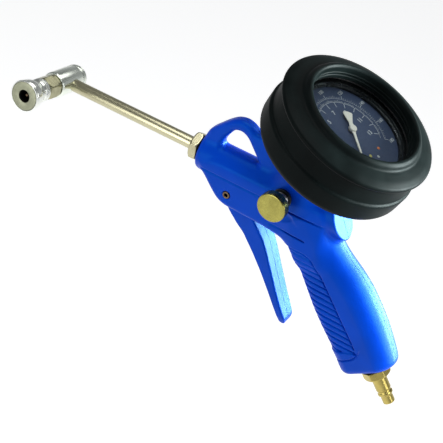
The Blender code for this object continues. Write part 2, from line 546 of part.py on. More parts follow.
def make_movement(brass, steel):
    """Bourdon tube, link, sector gear and pinion between two plates."""
    plate = rounded([(15, -13), (15, 13), (0, 15), (-20, 9), (-22, 0), (-20, -9), (0, -12)], 3, 2)
    posts = ((11.5, -9), (11.5, 9.5), (-18.5, 6))
    back = piece("movement_frame", prism(plate, BACK_PLATE_S, BACK_PLATE_S + PLATE_T), GAUGE, brass)
    for x, y in posts:
        join(back, rod(-19.4, -13.6, 1.6, 10), GAUGE @ Matrix.Translation((x, y, 0)))
    front = piece("movement_bridge", prism(plate, BRIDGE_S, BRIDGE_S + PLATE_T), GAUGE, brass)
    for holder in (back, front):
        cut(holder, rod(-22, -12, SHAFT_HOLE_R, 12), GAUGE)
        cut(holder, rod(-22, -12, SHAFT_HOLE_R, 12),
            GAUGE @ Matrix.Translation((SECTOR_PIVOT.x, SECTOR_PIVOT.y, 0)))
    centre = GAUGE @ Vector((0, 0, -16.9))
    arbor = piece("pinion_arbor", prism(gear_outline(PINION_TEETH, PINION_R, None,
                                                     math.pi / PINION_TEETH), -18.2, -15.6),
                  GAUGE, steel, centre)
    join(arbor, rod(-19.8, -6.3, SHAFT_R, 12), GAUGE)
    pivot = GAUGE @ Vector((SECTOR_PIVOT.x, SECTOR_PIVOT.y, -16.9))
    step = math.tau / SECTOR_TEETH
    first = -step * math.floor((SECTOR_SWEEP + 2.5 * step) / step)
    teeth = gear_outline(SECTOR_TEETH, SECTOR_R, SECTOR_CUT, first)
    outline = teeth + [(3.0, 2.6), (1.5, 3.0), (-1.5, 2.6), (-2.6, 0.5), (-1.8, -TAIL_R),
                       (-0.8, -TAIL_R - 1.6), (0.8, -TAIL_R - 1.6), (1.8, -TAIL_R), (2.4, -4.0)]
    local = GAUGE @ Matrix.Translation((SECTOR_PIVOT.x, SECTOR_PIVOT.y, 0))
    sector = piece("sector_gear", prism(outline, -17.4, -16.4), local, brass, pivot)
    join(sector, rod(-19.8, -12.6, SHAFT_R, 12), local)
    cut(sector, rod(-20, -15, 0.8, 10), GAUGE @ Matrix.Translation((LINK_PIN.x, LINK_PIN.y, 0)))
    pin = GAUGE @ Vector((LINK_PIN.x, LINK_PIN.y, -15.6))
    reach = LINK_END - LINK_PIN
    bearing = Matrix.Rotation(math.atan2(reach.y, reach.x), 4, "Z")
    local = GAUGE @ Matrix.Translation((LINK_PIN.x, LINK_PIN.y, 0)) @ bearing
    long = reach.length
    bar = rounded([(-1.5, -1.2), (long + 1.5, -1.2), (long + 1.5, 1.2), (-1.5, 1.2)], 1.2, 2)
    link = piece("gauge_link", prism(bar, -16.0, -15.2), local, steel, pin)
    join(link, rod(-17.2, -15.6, 0.5, 8), local)


def make_bourdon(brass):
    """Flattened spring tube, open at the socket and closed at its tip."""
    radius, half_wall, half_width, steps = 27.0, 1.1, 3.4, 30
    start, end = math.radians(168), math.radians(-96)

    def section(k, shrink):
        angle = start + (end - start) * k / steps
        out = Vector((math.cos(angle), math.sin(angle), 0))
        corners = ((-1, -0.6), (-1, 0.6), (-0.4, 1), (0.4, 1), (1, 0.6), (1, -0.6), (0.4, -1),
                   (-0.4, -1))
        return [out * (radius + (half_wall - shrink) * a) +
                Vector((0, 0, -21.0 + (half_width - shrink) * b)) for a, b in corners]

    bm = bmesh.new()
    outside = [[bm.verts.new(p) for p in section(k, 0.0)] for k in range(steps + 1)]
    inside = [[bm.verts.new(p) for p in section(k, 0.45)] for k in range(steps)]
    for skin, flip in ((outside, False), (inside, True)):
        for lower, upper in zip(skin, skin[1:]):
            for k in range(8):
                quad = (lower[k], lower[(k + 1) % 8], upper[(k + 1) % 8], upper[k])
                bm.faces.new(reversed(quad) if flip else quad)
    for k in range(8):
        bm.faces.new((outside[0][k], inside[0][k], inside[0][(k + 1) % 8], outside[0][(k + 1) % 8]))
    bm.faces.new(outside[-1])
    bm.faces.new(inside[-1])
    piece("bourdon_tube", bm, GAUGE, brass)
    tip = Matrix.Rotation(math.radians(-101), 4, "Z")
    bracket = piece("bourdon_tip", block((24.0, -2.2, -24), (28.4, 2.0, -16.4)), GAUGE @ tip, brass)
    bevel(bracket, 0.3, 1)


def make_pointer(look):
    """Needle with a round hub and a widening tail."""
    outline = [(27.5, 0.25), (4, 0.75), (2.6, 1.6), (-2.6, 1.6), (-4.0, 1.0), (-10.8, 2.9),
               (-12.4, 1.7), (-12.8, 0)]
    outline += [(x, -y) for x, y in reversed(outline[:-1])]
    turn = Matrix.Rotation(-POINTER_REST, 4, "Z")
    centre = GAUGE @ Vector((0, 0, -7.0))
    pointer = piece("pointer", prism(outline, -7.3, -6.8), GAUGE @ turn, look, centre)
    join(pointer, rod(-7.8, -5.9, 2.5, 20, 0.3), GAUGE)
    cut(pointer, rod(-9, -6.2, 1.15, 14), GAUGE)
    soften(pointer)


def main():
    """Clear the scene and make every piece with its material."""
    for old in list(bpy.data.objects):
        bpy.data.objects.remove(old)
    blue = material("moulded_blue", (0.008, 0.075, 0.60), 0.38)
    nickel = material("bright_nickel", (0.62, 0.62, 0.60), 0.22, 1.0)
    tube_steel = material("satin_nickel", (0.42, 0.40, 0.29), 0.30, 1.0)
    steel = material("spring_steel", (0.45, 0.45, 0.46), 0.30, 1.0)
    brass = material("brass", (0.62, 0.43, 0.13), 0.28, 1.0)
    black_rubber = material("black_rubber", (0.012, 0.014, 0.015), 0.55)
    seal_rubber = material("seal_rubber", (0.01, 0.01, 0.01), 0.6)
    black_paint = material("black_paint", (0.015, 0.015, 0.016), 0.35)
    lens = material("clear_lens", (0.95, 0.97, 0.97), 0.03, 0.0, 0.25)
    dial_paint = material("dial_paint", (0.06, 0.08, 0.13), 0.5)
    pointer_paint = material("pointer_paint", (0.83, 0.80, 0.70), 0.45)
    make_body(blue)
    make_trigger(blue, steel)
    make_front_fitting(brass, tube_steel, tube_steel, seal_rubber)
    make_valve(brass, steel, seal_rubber)
    make_inlet(brass, seal_rubber)
    make_head(nickel, brass, seal_rubber, steel)
    make_bleed(brass, steel, seal_rubber)
    make_gauge_shell(black_rubber, black_paint, lens, dial_paint, brass)
    make_movement(brass, steel)
    make_bourdon(brass)
    make_pointer(pointer_paint)


main()
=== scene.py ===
import json
import math

import bmesh
import bpy
import numpy as np
from mathutils import Matrix, Vector

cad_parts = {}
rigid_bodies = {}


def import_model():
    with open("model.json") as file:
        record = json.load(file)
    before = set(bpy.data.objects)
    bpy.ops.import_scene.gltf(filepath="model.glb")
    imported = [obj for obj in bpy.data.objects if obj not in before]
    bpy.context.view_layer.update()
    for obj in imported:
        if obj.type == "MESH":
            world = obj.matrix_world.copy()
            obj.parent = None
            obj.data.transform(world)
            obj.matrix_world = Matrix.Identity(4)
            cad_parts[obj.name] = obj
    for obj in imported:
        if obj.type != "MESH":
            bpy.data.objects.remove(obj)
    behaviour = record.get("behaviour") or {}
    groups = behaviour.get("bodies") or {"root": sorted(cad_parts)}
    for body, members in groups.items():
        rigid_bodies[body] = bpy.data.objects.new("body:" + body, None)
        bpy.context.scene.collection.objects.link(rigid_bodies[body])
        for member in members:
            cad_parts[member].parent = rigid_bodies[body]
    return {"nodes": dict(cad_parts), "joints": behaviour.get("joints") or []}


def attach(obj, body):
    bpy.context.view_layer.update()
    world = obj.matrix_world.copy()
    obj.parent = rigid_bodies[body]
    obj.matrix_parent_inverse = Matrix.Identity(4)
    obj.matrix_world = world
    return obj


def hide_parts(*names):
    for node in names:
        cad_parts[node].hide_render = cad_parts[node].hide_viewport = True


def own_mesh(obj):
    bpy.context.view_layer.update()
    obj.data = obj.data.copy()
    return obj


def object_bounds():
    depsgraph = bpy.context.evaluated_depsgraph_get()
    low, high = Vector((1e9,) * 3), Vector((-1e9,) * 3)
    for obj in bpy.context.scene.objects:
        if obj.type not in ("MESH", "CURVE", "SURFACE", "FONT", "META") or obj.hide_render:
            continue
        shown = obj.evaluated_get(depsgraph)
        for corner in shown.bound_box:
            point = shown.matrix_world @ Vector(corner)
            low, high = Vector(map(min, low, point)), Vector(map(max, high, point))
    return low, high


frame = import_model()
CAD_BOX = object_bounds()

MM = 0.001
HEAD_X = -174.4                 # the swivel head, ahead of the barrel's reference point
NEEDLE_S = -7.0                 # the needle's joint, below the boot's front plane
GRIP_TILT = math.radians(50.7)
GRIP_BORE_N = 4.6
BARREL_DROP = 1.8
BARREL_R = 11.5
BODY_HALF_WIDTH = 12.0
VALVE_Z = -17.0
BLEED_Z = 2.3
PIN_R = 2.4
TUBE_R = 4.2
PIN_GAP = 0.3
BODY_STEP, TRIGGER_STEP = 0.45, 0.36    # spacing of the sampled distances
NUT_FLATS, CHUCK_FLATS, PLUG_FLATS = 17.0, 14.5, 16.0
HEX_SLOPE = 0.866025                    # cosine of 30 degrees


def joint(name):
    """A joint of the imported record, by name."""
    return next(j for j in frame["joints"] if j["name"] == name)


def local_frame(origin, along, across):
    """A frame whose Z runs along, and whose X runs across."""
    z = Vector(along).normalized()
    x = Vector(across).normalized()
    turn = Matrix((x, z.cross(x), z)).transposed().to_4x4()
    return Matrix.Translation(Vector(origin)) @ turn


BARREL = Vector(joint("chuck_swivel")["pos_m"]) / MM - Vector((HEAD_X, 0, 0))
PIVOT_AT = Vector(joint("trigger_squeeze")["pos_m"]) / MM - BARREL
NEEDLE_AT = Vector(joint("pointer_turn")["pos_m"]) / MM - BARREL
GAUGE_N = -Vector(joint("pointer_turn")["axis"])
GAUGE_UP = Vector((-GAUGE_N.z, 0, GAUGE_N.x))
GRIP_D = Vector((math.cos(GRIP_TILT), 0, -math.sin(GRIP_TILT)))
GRIP_N = Vector((math.sin(GRIP_TILT), 0, math.cos(GRIP_TILT)))

PLAIN = Matrix.Identity(4)
TUBE = local_frame((0, 0, 0), (1, 0, 0), (0, 1, 0))
BLEED = local_frame((0, 0, BLEED_Z), (0, -1, 0), (1, 0, 0))
PIVOT = local_frame(PIVOT_AT, (0, 1, 0), (1, 0, 0))
INLET = local_frame(GRIP_N * GRIP_BORE_N, GRIP_D, GRIP_N)
HEAD = local_frame((HEAD_X, 0, 0), joint("chuck_swivel")["axis"], (1, 0, 0))
GAUGE = local_frame(NEEDLE_AT - GAUGE_N * NEEDLE_S, GAUGE_N, GAUGE_UP)


# ---- making meshes -------------------------------------------------------------------------
def add(name, points, faces, look, body, local=PLAIN, replaces=(), sharp=None):
    """One piece: its points in a local frame, its material, its body and what it stands for."""
    turn = np.array(local.to_3x3())
    shift = np.array(local.translation + BARREL)
    placed = (np.asarray(points, float) @ turn.T + shift) * MM
    mesh = bpy.data.meshes.new(name)
    mesh.from_pydata(placed.tolist(), [], faces)
    bm = bmesh.new()
    bm.from_mesh(mesh)
    bmesh.ops.remove_doubles(bm, verts=bm.verts, dist=1e-7)
    bmesh.ops.recalc_face_normals(bm, faces=bm.faces)
    if bm.calc_volume(signed=True) < 0:
        bmesh.ops.reverse_faces(bm, faces=bm.faces)
    bm.to_mesh(mesh)
    bm.free()
    mesh.shade_smooth()
    if sharp:
        mesh.set_sharp_from_angle(angle=math.radians(sharp))
    mesh.materials.append(look)
    obj = bpy.data.objects.new(name, mesh)
    bpy.context.scene.collection.objects.link(obj)
    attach(obj, body)
    if replaces:
        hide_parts(*replaces)
    return obj


def eased(points, radius, steps=3, closed=False):
    """Round the corners of a line of points with short arcs."""
    result = []
    count = len(points)
    for k in range(count):
        here = Vector(points[k])
        if not closed and k in (0, count - 1):
            result.append(tuple(here))
            continue
        before = Vector(points[k - 1]) - here
        after = Vector(points[(k + 1) % count]) - here
        cut = min(radius, before.length * 0.45, after.length * 0.45)
        start = here + before.normalized() * cut
        end = here + after.normalized() * cut
        for step in range(steps + 1):
            t = step / steps
            result.append(tuple((1 - t) ** 2 * start + 2 * t * (1 - t) * here + t * t * end))
    return result


def spun(profile, steps=96, closed=False, relief=None):
    """Spin (height, radius) points about Z; relief(height, angle) is added to the radius."""
    rows = np.array(profile, float)
    angles = np.linspace(0, math.tau, steps, endpoint=False)
    radius = np.repeat(rows[:, 1:], steps, axis=1)
    if relief is not None:
        radius = radius + relief(rows[:, :1], angles[None, :])
    points = np.stack([radius * np.cos(angles), radius * np.sin(angles),
                       np.repeat(rows[:, :1], steps, axis=1)], axis=2).reshape(-1, 3)
    faces = []
    last = len(rows) if closed else len(rows) - 1
    for row in range(last):
        lower, upper = row * steps, ((row + 1) % len(rows)) * steps
        for k in range(steps):
            j = (k + 1) % steps
            faces.append((lower + k, lower + j, upper + j, upper + k))
    return points, faces


def turned(name, profile, look, body, local, replaces=(), steps=96, closed=False,
           relief=None, sharp=None):
    """A turned piece from its profile."""
    points, faces = spun(profile, steps, closed, relief)
    return add(name, points, faces, look, body, local, replaces, sharp)


def prism(name, outline, low, high, look, body, local=PLAIN, replaces=(), sharp=30):
    """A flat piece from its outline."""
    count = len(outline)
    points = [(x, y, low) for x, y in outline] + [(x, y, high) for x, y in outline]
    faces = [tuple(range(count)), tuple(range(2 * count - 1, count - 1, -1))]
    faces += [(k, (k + 1) % count, count + (k + 1) % count, count + k) for k in range(count)]
    return add(name, points, faces, look, body, local, replaces, sharp)


# ---- blended shapes: distances on a grid ------------------------------------------------------
class Grid:
    """Points of a box of space, as three arrays that broadcast against each other."""

    def __init__(self, low, high, step):
        self.low, self.step = np.array(low, np.float32), step
        axes = [np.arange(a, b + step, step, dtype=np.float32) for a, b in zip(low, high)]
        self.x = axes[0][:, None, None]
        self.y = axes[1][None, :, None]
        self.z = axes[2][None, None, :]


def melt(a, b, radius):
    """Union of two distances with a fillet."""
    near = np.maximum(radius - np.abs(a - b), 0) / radius
    return np.minimum(a, b) - near * near * radius / 4


def carve(a, b, radius):
    """Take b away from a, with a rounded edge."""
    return -melt(-a, b, radius)


def trim(a, b, radius):
    """Keep what a and b share, with a rounded edge."""
    return -melt(-a, -b, radius)


def drill(a, b):
    """Take b away from a, with a sharp edge."""
    return np.maximum(a, -b)


def round_corner(a, b, radius):
    """Distance to a corner of the given radius, from the distances past its two sides."""
    return np.sqrt(np.maximum(a, 0) ** 2 + np.maximum(b, 0) ** 2) + np.minimum(
        np.maximum(a, b), 0) - radius


def outline_distance(x, z, points):
    """Signed distance to a closed outline, negative inside."""
    nearest = np.full(np.broadcast(x, z).shape, 1e9, np.float32)
    inside = np.zeros(nearest.shape, bool)
    for (ax, az), (bx, bz) in zip(points, points[1:] + points[:1]):
        ex, ez = bx - ax, bz - az
        wx, wz = x - ax, z - az
        along = np.clip((wx * ex + wz * ez) / (ex * ex + ez * ez), 0, 1)
        nearest = np.minimum(nearest, (wx - ex * along) ** 2 + (wz - ez * along) ** 2)
        crosses = (az > z) != (bz > z)
        inside ^= crosses & (wx < ex * wz / (ez if ez else 1.0))
    return np.where(inside, -1, 1) * np.sqrt(nearest)


def slab(side, y, half, rim):
    """Extrude a side-view distance to both sides, with round rims."""
    return round_corner(side + rim, np.abs(y) - (half - rim), rim)


def skin(grid, values):
    """Points and quads round the zero level of the sampled distances."""
    inside = values < 0
    count = np.zeros(tuple(n - 1 for n in values.shape), np.uint8)
    corners = [(i, j, k) for i in (0, 1) for j in (0, 1) for k in (0, 1)]

    def corner(array, i, j, k):
        return array[i:array.shape[0] - 1 + i, j:array.shape[1] - 1 + j,
                     k:array.shape[2] - 1 + k]

    for at in corners:
        count += corner(inside, *at)
    cells = np.argwhere((count > 0) & (count < 8))
    number = np.full(count.shape, -1, np.int32)
    number[tuple(cells.T)] = np.arange(len(cells))
    level = {at: values[tuple((cells + at).T)] for at in corners}
    total = np.zeros((len(cells), 3))
    hits = np.zeros(len(cells))
    for a in corners:
        for axis in range(3):
            if a[axis]:
                continue
            b = tuple(v + (n == axis) for n, v in enumerate(a))
            crossing = (level[a] < 0) != (level[b] < 0)
            share = np.where(crossing, level[a] / np.where(crossing, level[a] - level[b], 1), 0)
            for n in range(3):
                total[:, n] += np.where(crossing, a[n] + (share if n == axis else 0), 0)
            hits += crossing
    points = grid.low + (cells + total / hits[:, None]) * grid.step
    faces = []
    for axis in range(3):
        u, v = (axis + 1) % 3, (axis + 2) % 3
        ahead = np.take(inside, range(1, inside.shape[axis]), axis)
        behind = np.take(inside, range(0, inside.shape[axis] - 1), axis)
        for flips, edges in ((False, behind & ~ahead), (True, ahead & ~behind)):
            at = np.argwhere(edges)
            at = at[(at[:, u] > 0) & (at[:, v] > 0)]
            step_u, step_v = np.zeros(3, int), np.zeros(3, int)
            step_u[u], step_v[v] = 1, 1
            quad = [number[tuple((at - back).T)] for back in
                    (step_u * 0, step_u, step_u + step_v, step_v)]
            quad = np.stack(quad[::-1] if flips else quad, axis=1)
            faces += quad[(quad >= 0).all(axis=1)].tolist()
    return points, faces


def curve(at, value, where, smooth=5.0):
    """A smooth line through (at, value) pairs, read at where."""
    fine = np.arange(at[0] - 20, at[-1] + 20, 0.5)
    line = np.interp(fine, at, value)
    window = np.hanning(int(smooth * 4) + 3)
    padded = np.pad(line, len(window) // 2, mode="edge")
    line = np.convolve(padded, window / window.sum(), mode="valid")[:len(fine)]
    return np.interp(where, fine, line).astype(np.float32)


# ---- materials ---------------------------------------------------------------------------------
class Look:
    """A Principled material whose colour, roughness and bump come from noise in the piece."""

    def __init__(self, name, colour, rough, metallic=0.0, specular=0.5, coat=0.0):
        self.material = bpy.data.materials.new(name)
        self.material.use_nodes = True
        self.nodes = self.material.node_tree.nodes
        self.links = self.material.node_tree.links
        self.shader = self.nodes["Principled BSDF"]
        self.colour = colour
        self.rough = rough
        self.shader.inputs["Metallic"].default_value = metallic
        self.shader.inputs["Specular IOR Level"].default_value = specular
        self.shader.inputs["Coat Weight"].default_value = coat
        self.bump_from = None
        self.place = self.nodes.new("ShaderNodeTexCoord").outputs["Object"]

    def oriented(self, local, stretch=(1, 1, 1)):
        """The piece's points in a local frame, in millimetres, stretched for streaks."""
        mapping = self.nodes.new("ShaderNodeMapping")
        mapping.vector_type = "TEXTURE"
        mapping.inputs["Location"].default_value = (local.translation + BARREL) * MM
        mapping.inputs["Rotation"].default_value = local.to_euler()
        mapping.inputs["Scale"].default_value = [MM * s for s in stretch]
        self.links.new(self.place, mapping.inputs["Vector"])
        return mapping.outputs["Vector"]

    def noise(self, scale, detail=3.0, roughness=0.5, vector=None):
        """Noise with features of about 1/scale millimetres."""
        if vector is None:
            vector = self.oriented(PLAIN)
        made = self.nodes.new("ShaderNodeTexNoise")
        made.inputs["Scale"].default_value = scale
        made.inputs["Detail"].default_value = detail
        made.inputs["Roughness"].default_value = roughness
        self.links.new(vector, made.inputs["Vector"])
        return made.outputs["Fac"]

    def radial(self, local):
        """Distance from a local frame's axis, in millimetres."""
        flat = self.nodes.new("ShaderNodeVectorMath")
        flat.operation = "MULTIPLY"
        flat.inputs[1].default_value = (1, 1, 0)
        self.links.new(self.oriented(local), flat.inputs[0])
        length = self.nodes.new("ShaderNodeVectorMath")
        length.operation = "LENGTH"
        self.links.new(flat.outputs["Vector"], length.inputs[0])
        return length.outputs["Value"]

    def remap(self, value, low, high, out_low=0.0, out_high=1.0):
        """Stretch a value from one range to another."""
        made = self.nodes.new("ShaderNodeMapRange")
        for key, number in (("From Min", low), ("From Max", high), ("To Min", out_low),
                            ("To Max", out_high)):
            made.inputs[key].default_value = number
        self.links.new(value, made.inputs["Value"])
        return made.outputs["Result"]

    def math(self, operation, first, second=0.0):
        """One arithmetic step on a value."""
        made = self.nodes.new("ShaderNodeMath")
        made.operation = operation
        self.links.new(first, made.inputs[0])
        if isinstance(second, float):
            made.inputs[1].default_value = second
        else:
            self.links.new(second, made.inputs[1])
        return made.outputs["Value"]

    def tint(self, fac, darker, lighter):
        """Colour that runs between two tones of the base colour."""
        ramp = self.nodes.new("ShaderNodeValToRGB")
        ramp.color_ramp.elements[0].position = 0.25
        ramp.color_ramp.elements[1].position = 0.75
        ramp.color_ramp.elements[0].color = (*darker, 1)
        ramp.color_ramp.elements[1].color = (*lighter, 1)
        self.links.new(fac, ramp.inputs["Fac"])
        self.links.new(ramp.outputs["Color"], self.shader.inputs["Base Color"])

    def vary(self, fac, amount):
        """Tones a little darker and lighter than the base colour."""
        self.tint(fac, [c * (1 - amount) for c in self.colour],
                  [min(c * (1 + amount), 1) for c in self.colour])

    def roughen(self, fac, spread):
        """Roughness that wanders about its base value."""
        self.links.new(self.remap(fac, 0.25, 0.75, self.rough - spread, self.rough + spread),
                       self.shader.inputs["Roughness"])

    def bump(self, height, depth, strength=1.0):
        """Add relief of the given depth in millimetres."""
        made = self.nodes.new("ShaderNodeBump")
        made.inputs["Strength"].default_value = strength
        made.inputs["Distance"].default_value = depth * MM
        self.links.new(height, made.inputs["Height"])
        if self.bump_from is not None:
            self.links.new(self.bump_from, made.inputs["Normal"])
        self.bump_from = made.outputs["Normal"]
        self.links.new(self.bump_from, self.shader.inputs["Normal"])


def moulded_plastic(name, colour):
    """Glass-filled nylon: fine spark-eroded grain, faint flow marks."""
    look = Look(name, colour, 0.36, specular=0.24)
    look.shader.inputs["Specular Tint"].default_value = (0.06, 0.66, 1.0, 1)
    look.vary(look.noise(0.05, 4), 0.10)
    look.roughen(look.noise(0.35, 3), 0.05)
    look.bump(look.noise(2.6, 2, 0.6), 0.028, 0.55)
    look.bump(look.noise(0.22, 2), 0.10, 0.25)
    split = look.nodes.new("ShaderNodeSeparateXYZ")
    look.links.new(look.oriented(PLAIN), split.inputs[0])
    seam = look.remap(look.math("ABSOLUTE", split.outputs["Y"]), 0.12, 0.30, 1.0, 0.0)
    look.bump(seam, 0.45, 1.0)
    return look.material


def moulded_rubber(name, colour):
    """Black rubber: satin skin, fine grain, faint bloom and waviness."""
    look = Look(name, colour, 0.43, specular=0.035)
    look.vary(look.noise(0.06, 5), 0.35)
    look.roughen(look.noise(0.12, 4), 0.07)
    look.bump(look.noise(3.0, 2, 0.6), 0.03, 0.5)
    look.bump(look.noise(0.09, 2), 0.35, 0.30)
    return look.material


def turned_metal(name, colour, rough, local, pitch=0.35, tone=0.12, depth=0.02):
    """Metal turned about a local axis: fine rings along it, faint stains."""
    look = Look(name, colour, rough, metallic=1.0)
    rings = look.noise(1 / pitch, 2, 0.6, look.oriented(local, (60, 60, 1)))
    look.vary(look.noise(0.25, 5), tone)
    look.roughen(rings, 0.07)
    look.bump(rings, depth, 0.6)
    return look.material


def faced_metal(name, colour, rough, local, pitch=0.8, depth=0.05, tone=0.14):
    """A turned face: concentric tool marks about a local axis."""
    look = Look(name, colour, rough, metallic=1.0)
    radius = look.radial(local)
    wave = look.math("SINE", look.math("MULTIPLY", radius, math.tau / pitch))
    wander = look.noise(0.5, 4)
    look.vary(look.noise(0.3, 5), tone)
    look.roughen(wander, 0.08)
    look.bump(look.remap(wave, -1, 1), depth, 0.5)
    look.bump(look.noise(4.0, 2), 0.02, 0.4)
    return look.material


def drawn_metal(name, colour, rough, local, tone=0.12):
    """Drawn tube: long scratches along a local axis under a satin plate."""
    look = Look(name, colour, rough, metallic=1.0)
    streaks = look.noise(2.2, 3, 0.6, look.oriented(local, (1, 1, 50)))
    look.vary(look.noise(0.12, 5, 0.55, look.oriented(local, (1, 1, 3))), tone)
    look.roughen(streaks, 0.07)
    look.bump(streaks, 0.02, 0.5)
    return look.material


def brushed_steel(name, colour, rough):
    """Plain steel with a fine mottled grain."""
    look = Look(name, colour, rough, metallic=1.0)
    look.vary(look.noise(0.6, 4), 0.12)
    look.roughen(look.noise(2.0, 3), 0.08)
    look.bump(look.noise(5.0, 2), 0.01, 0.5)
    return look.material


def enamel(name, colour, rough, speckle=0.25):
    """Painted sheet: slight orange peel and dust speckle."""
    look = Look(name, colour, rough, specular=0.4)
    look.vary(look.noise(1.2, 5), speckle)
    look.roughen(look.noise(0.5, 3), 0.06)
    look.bump(look.noise(1.6, 2), 0.015, 0.5)
    return look.material


def clear_window(name):
    """Clear plastic: mostly see-through, with a sharp reflection at grazing angles."""
    look = bpy.data.materials.new(name)
    look.use_nodes = True
    nodes, links = look.node_tree.nodes, look.node_tree.links
    nodes.remove(nodes["Principled BSDF"])
    clear = nodes.new("ShaderNodeBsdfTransparent")
    clear.inputs["Color"].default_value = (0.93, 0.96, 0.97, 1)
    gloss = nodes.new("ShaderNodeBsdfGlossy")
    gloss.inputs["Roughness"].default_value = 0.05
    fresnel = nodes.new("ShaderNodeFresnel")
    fresnel.inputs["IOR"].default_value = 1.12
    mixed = nodes.new("ShaderNodeMixShader")
    links.new(fresnel.outputs["Fac"], mixed.inputs["Fac"])
    links.new(clear.outputs["BSDF"], mixed.inputs[1])
    links.new(gloss.outputs["BSDF"], mixed.inputs[2])
    links.new(mixed.outputs["Shader"], nodes["Material Output"].inputs["Surface"])
    return look


BLUE = moulded_plastic("moulded_blue", (0.0004, 0.036, 0.41))
RUBBER = moulded_rubber("boot_rubber", (0.0024, 0.0040, 0.0040))
SEAL = moulded_rubber("seal_rubber", (0.006, 0.006, 0.006))
TUBE_METAL = drawn_metal("satin_nickel_tube", (0.50, 0.47, 0.31), 0.30, TUBE)
NUT_METAL = turned_metal("nut_nickel", (0.46, 0.43, 0.28), 0.28, TUBE)
HEAD_METAL = drawn_metal("bright_nickel_head", (0.73, 0.77, 0.69), 0.24, HEAD)
HEX_METAL = turned_metal("worn_nickel_hexagon", (0.33, 0.32, 0.20), 0.26, HEAD, tone=0.25)
NOSE_METAL = turned_metal("bright_nickel_nose", (0.74, 0.76, 0.71), 0.22, HEAD, 0.5)
FACE_METAL = faced_metal("turned_chuck_face", (0.30, 0.31, 0.22), 0.42, HEAD, 0.9)
KNOB_METAL = faced_metal("turned_knob_brass", (0.32, 0.29, 0.075), 0.27, BLEED, 0.7, 0.03)
PLUG_METAL = turned_metal("plug_brass", (0.46, 0.37, 0.11), 0.24, INLET)
INNER_BRASS = brushed_steel("inner_brass", (0.72, 0.52, 0.20), 0.30)
STEEL = brushed_steel("inner_steel", (0.50, 0.50, 0.50), 0.32)
PIN_STEEL = brushed_steel("browned_pin", (0.16, 0.11, 0.07), 0.38)
BLACK = enamel("black_enamel", (0.008, 0.009, 0.009), 0.30)
DIAL = enamel("dial_paint", (0.052, 0.070, 0.125), 0.50, 0.14)
PRINT = enamel("dial_print", (0.62, 0.64, 0.62), 0.55, 0.08)
ORANGE = enamel("orange_print", (0.70, 0.20, 0.05), 0.55, 0.08)
YELLOW = enamel("yellow_print", (0.65, 0.55, 0.15), 0.55, 0.08)
CREAM = enamel("pointer_paint", (0.80, 0.75, 0.64), 0.45, 0.05)
WINDOW = clear_window("clear_window")
SLOT_LOOKS = {"moulded_blue": BLUE, "bright_nickel": HEAD_METAL, "satin_nickel": TUBE_METAL,
              "spring_steel": STEEL, "brass": INNER_BRASS, "black_rubber": RUBBER,
              "seal_rubber": SEAL, "black_paint": BLACK, "clear_lens": WINDOW,
              "dial_paint": DIAL, "pointer_paint": CREAM}
for node in frame["nodes"].values():
    slot_name = node.data.materials[0].name.split(".")[0]
    node.data.materials.clear()
    node.data.materials.append(SLOT_LOOKS[slot_name])


# ---- the moulded body --------------------------------------------------------------------------
BARREL_PROFILE = [(-64.8, 0), (-64.8, 9.6), (-64.2, 10.5), (-62.8, 11.1), (-58, BARREL_R),
                  (60, BARREL_R), (60, 0)]
REAR_X, REAR_TILT = 36.0, math.radians(30)   # the barrel's end is cut aslant
SIDE_OUTLINE = [(-62, -1), (-60.4, -6.2), (-55.6, -11), (-50, -17.3), (-44.5, -22.6),
                (-38.5, -25.0), (-8.5, -26.0), (5, -28.0), (12.5, -31.5), (18, -40),
                (38, -36), (31, -22), (31, -10), (30, 0), (26, 4), (-50, 4)]
EYE_OUTLINE = [(-64.5, 3), (-63.9, 12.5), (-61.5, 18.3), (-51.5, 28.2), (-46, 32.4),
               (-40, 34.0), (-34.2, 32.6), (-29.5, 29.2), (-14, 30), (0, 33), (14, 20),
               (10, 2), (-30, 2)]
EYE_HOLE = [(-52, 7), (-51.3, 15), (-44.8, 25.2), (-39.5, 26.4), (-35.0, 24.2), (-21, 7)]
SLOT = [(-47.5, -6.6), (-12.0, -6.6), (-12.0, -46), (-47.5, -46)]
GRIP_T = [18, 32, 44, 52, 64, 75, 88, 100, 111, 118, 126]
GRIP_FRONT = [-10.4, -13.6, -14.1, -14.4, -15.2, -15.9, -15.9, -15.3, -14.9, -15.4, -15.3]
GRIP_BACK = [17.5, 19.8, 19.9, 21.2, 24.2, 25.8, 26.1, 25.8, 24.7, 23.7, 22.2]
GRIP_WIDTH = [10.6, 12.1, 12.5, 12.8, 13.1, 13.3, 13.4, 13.3, 13.1, 13.0, 12.6]
FOOT_T, FOOT_LEAN = 125.2, 0.065
PANEL_TOP, PANEL_END = 26.0, 107.0
PANEL_EDGE = [(26.5, -16.0), (29.0, -12.0), (31.7, -7.4), (36.0, -1.6), (40.9, 2.4), (51.7, 3.5),
              (69.5, 4.2), (85.2, 4.5), (100.5, 5.0), (106.4, 4.7)]
LIP = [(107.6, 8.2), (109.4, 6.3), (111.9, 3.2), (113.1, -0.6), (113.2, -6.4), (112.2, -18.0)]
RIB_PITCH = 3.93
RIB_PHASE = -31.2
BOSS_S = [-76, -66, -58, -50, -43]
BOSS_HALF = [17.0, 17.6, 16.8, 14.6, 13.0]
BOSS_WIDTH = [11.2, 12.3, 12.5, 12.5, 12.5]


def grip_distance(t, n, y):
    """The grip: a rounded box whose front, back and width follow curves down its length."""
    front = curve(GRIP_T, GRIP_FRONT, t)
    back = curve(GRIP_T, GRIP_BACK, t)
    width = curve(GRIP_T, GRIP_WIDTH, t)
    middle, half = (front + back) / 2, (back - front) / 2
    ahead = n < middle
    radius = np.where(ahead, 9.0, np.minimum(width, 12.4))
    return round_corner(np.abs(n - middle) - half + radius, np.abs(y) - width + radius, radius)


